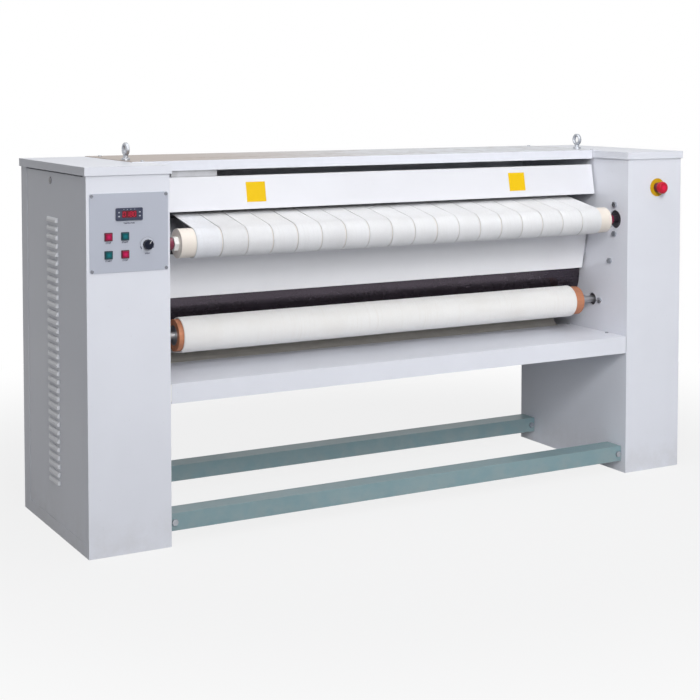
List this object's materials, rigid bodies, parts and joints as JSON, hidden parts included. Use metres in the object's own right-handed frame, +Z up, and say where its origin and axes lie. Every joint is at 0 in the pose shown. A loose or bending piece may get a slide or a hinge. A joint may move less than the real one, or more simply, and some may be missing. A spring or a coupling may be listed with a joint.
{
  "type": "flatwork ironer",
  "caption": "Flatwork ironer: a heated drum between two cabinets, narrow feed belts over the top, a finger guard, and a shelf at the front that receives the linen.",
  "frame": {"origin": "on the floor, under the middle of the whole machine's length and depth", "axes": "+X to the right of the operator who stands at the front, +Y to the rear, +Z up"},
  "size_m": [2.106, 0.655, 1.127],
  "materials": {
    "body_paint": "textured powder coat, light blue-grey white",
    "guard_paint": "satin white",
    "control_paint": "satin blue-grey",
    "channel_paint": "grey-green primer",
    "zinc_sheet": "bright zinc plated",
    "top_sheet": "brushed stainless, slightly brown",
    "zinc_forging": "zinc plated forging",
    "bolt_steel": "zinc plated",
    "roller_cream": "smooth cream",
    "hub_white": "satin",
    "collar_crimson": "gloss",
    "belt_cotton": "woven cotton",
    "blanket_felt": "woven needle felt",
    "roller_steel": "ground",
    "roller_copper": "copper-brown primer",
    "drum_polished": "polished, reflects the dark inside",
    "journal_steel": "turned",
    "heater_steel": "heat stained",
    "bearing_iron": "painted casting",
    "sprocket_steel": "machined",
    "chain_steel": "oiled",
    "motor_paint": "grey-blue enamel",
    "box_paint": "light grey",
    "black_plastic": "matt",
    "display_case": "dark slate",
    "display_red": "dark red filter",
    "button_red": "translucent red",
    "button_green": "translucent green",
    "dial_metal": "printed scale",
    "knob_black": "satin with a white line",
    "plate_yellow": "bare yellow",
    "estop_yellow": "bare yellow",
    "estop_red": "gloss",
    "lock_zinc": "plated die casting"
  },
  "bodies": {
    "machine_body": {"left_wall_plate": "body_paint", "right_wall_plate": "body_paint", "front_covers": "body_paint", "side_frames": "body_paint", "base_trays": "zinc_sheet", "cabinet_lids": "body_paint", "rear_covers": "body_paint", "top_cover": "top_sheet", "lifting_eyes": "zinc_forging", "cable_gland": "black_plastic", "receiving_shelf": "body_paint", "apron_panel": "guard_paint", "guide_plate": "zinc_sheet", "bottom_cover": "zinc_sheet", "tie_channels": "channel_paint", "mounting_brackets": "zinc_sheet", "hex_bolts": "bolt_steel", "machine_screws": "bolt_steel", "feed_belts": "belt_cotton", "ironing_blanket": "blanket_felt", "heater_bank": "heater_steel", "flange_bearings": "bearing_iron", "roller_chains": "chain_steel", "gearmotor": "motor_paint", "electrical_box": "box_paint", "guard_switch": "black_plastic", "control_plate": "control_paint", "temperature_display": "display_case", "display_window": "display_red", "button_housings": "black_plastic", "dial_ring": "dial_metal", "potentiometer": "black_plastic", "estop_disc": "estop_yellow", "estop_collar": "black_plastic", "contactors": "black_plastic"},
    "drum": {"drum": "drum_polished", "drum_journals": "journal_steel", "drum_sprockets": "sprocket_steel"},
    "feed_roller": {"feed_roller": "roller_cream", "feed_roller_hubs": "hub_white", "feed_roller_collars": "collar_crimson", "feed_sprocket": "sprocket_steel"},
    "rear_feed_roller": {"rear_feed_roller": "roller_steel"},
    "lower_roller": {"lower_roller": "roller_copper"},
    "upper_guide_roller": {"upper_guide_roller": "roller_steel"},
    "lower_guide_roller": {"lower_guide_roller": "roller_steel"},
    "motor_output": {"motor_sprocket": "sprocket_steel"},
    "finger_guard": {"finger_guard": "guard_paint", "yellow_plates": "plate_yellow"},
    "stop_button_upper": {"stop_button_upper": "button_red"},
    "start_button_upper": {"start_button_upper": "button_green"},
    "start_button_lower": {"start_button_lower": "button_green"},
    "stop_button_lower": {"stop_button_lower": "button_red"},
    "speed_knob": {"speed_knob": "knob_black"},
    "estop_plunger": {"estop_plunger": "black_plastic"},
    "estop_head": {"estop_head": "estop_red"},
    "left_side_panel": {"left_side_panel": "body_paint"},
    "right_side_panel": {"right_side_panel": "body_paint"},
    "left_side_lock": {"left_side_lock": "lock_zinc"},
    "right_side_lock": {"right_side_lock": "lock_zinc"}
  },
  "joints": [
    {"name": "drum_spin", "type": "hinge", "parent": "machine_body", "child": "drum", "pos_m": [0, 0.0925, 0.65], "axis": [1, 0, 0], "continuous": true},
    {"name": "feed_roller_spin", "type": "hinge", "parent": "machine_body", "child": "feed_roller", "pos_m": [0, -0.2265, 0.847], "axis": [1, 0, 0], "continuous": true},
    {"name": "rear_feed_roller_spin", "type": "hinge", "parent": "machine_body", "child": "rear_feed_roller", "pos_m": [0, 0.0575, 0.91796], "axis": [1, 0, 0], "continuous": true},
    {"name": "lower_roller_spin", "type": "hinge", "parent": "machine_body", "child": "lower_roller", "pos_m": [0, -0.1085, 0.564], "axis": [1, 0, 0], "continuous": true},
    {"name": "upper_guide_roller_spin", "type": "hinge", "parent": "machine_body", "child": "upper_guide_roller", "pos_m": [0, 0.2535, 0.73], "axis": [1, 0, 0], "continuous": true},
    {"name": "lower_guide_roller_spin", "type": "hinge", "parent": "machine_body", "child": "lower_guide_roller", "pos_m": [0, 0.2535, 0.49], "axis": [1, 0, 0], "continuous": true},
    {"name": "motor_spin", "type": "hinge", "parent": "machine_body", "child": "motor_output", "pos_m": [0, 0.0925, 0.23], "axis": [1, 0, 0], "continuous": true},
    {"name": "guard_hinge", "type": "hinge", "parent": "machine_body", "child": "finger_guard", "pos_m": [0, -0.0965, 1.017], "axis": [1, 0, 0], "range_deg": [0, 8], "stiffness_Nm_per_rad": 3, "springref_deg": -17.19},
    {"name": "stop_button_upper_slide", "type": "slide", "parent": "machine_body", "child": "stop_button_upper", "axis": [0, 1, 0], "range_m": [0, 0.0035], "stiffness_N_per_m": 300, "springref_m": -0.003},
    {"name": "start_button_upper_slide", "type": "slide", "parent": "machine_body", "child": "start_button_upper", "axis": [0, 1, 0], "range_m": [0, 0.0035], "stiffness_N_per_m": 300, "springref_m": -0.003},
    {"name": "start_button_lower_slide", "type": "slide", "parent": "machine_body", "child": "start_button_lower", "axis": [0, 1, 0], "range_m": [0, 0.0035], "stiffness_N_per_m": 300, "springref_m": -0.003},
    {"name": "stop_button_lower_slide", "type": "slide", "parent": "machine_body", "child": "stop_button_lower", "axis": [0, 1, 0], "range_m": [0, 0.0035], "stiffness_N_per_m": 300, "springref_m": -0.003},
    {"name": "speed_knob_turn", "type": "hinge", "parent": "machine_body", "child": "speed_knob", "pos_m": [-0.8736, -0.3105, 0.8573], "axis": [0, 1, 0], "range_deg": [-180, 120]},
    {"name": "estop_press", "type": "slide", "parent": "machine_body", "child": "estop_plunger", "axis": [0, 1, 0], "range_m": [0, 0.004]},
    {"name": "estop_release_turn", "type": "hinge", "parent": "estop_plunger", "child": "estop_head", "pos_m": [0.9455, -0.3175, 0.954], "axis": [0, 1, 0], "range_deg": [0, 45], "stiffness_Nm_per_rad": 0.05, "springref_deg": -11.46},
    {"name": "left_side_panel_tilt", "type": "hinge", "parent": "machine_body", "child": "left_side_panel", "pos_m": [-1.047, 0, 0.0373], "axis": [0, -1, 0], "range_deg": [0, 35]},
    {"name": "left_side_lock_turn", "type": "hinge", "parent": "left_side_panel", "child": "left_side_lock", "pos_m": [-1.047, 0.0175, 1.022], "axis": [1, 0, 0], "range_deg": [0, 90]},
    {"name": "right_side_panel_tilt", "type": "hinge", "parent": "machine_body", "child": "right_side_panel", "pos_m": [1.047, 0, 0.0373], "axis": [0, 1, 0], "range_deg": [0, 35]},
    {"name": "right_side_lock_turn", "type": "hinge", "parent": "right_side_panel", "child": "right_side_lock", "pos_m": [1.047, 0.0175, 1.022], "axis": [1, 0, 0], "range_deg": [0, 90]}
  ],
  "couplings": [
    {"joint": "feed_roller_spin", "follows": "drum_spin", "ratio": 3.1429},
    {"joint": "rear_feed_roller_spin", "follows": "drum_spin", "ratio": 5.1365},
    {"joint": "lower_roller_spin", "follows": "drum_spin", "ratio": -2.8581},
    {"joint": "upper_guide_roller_spin", "follows": "drum_spin", "ratio": -6.2061},
    {"joint": "lower_guide_roller_spin", "follows": "drum_spin", "ratio": -6.2061},
    {"joint": "motor_spin", "follows": "drum_spin", "ratio": 3.8}
  ]
}
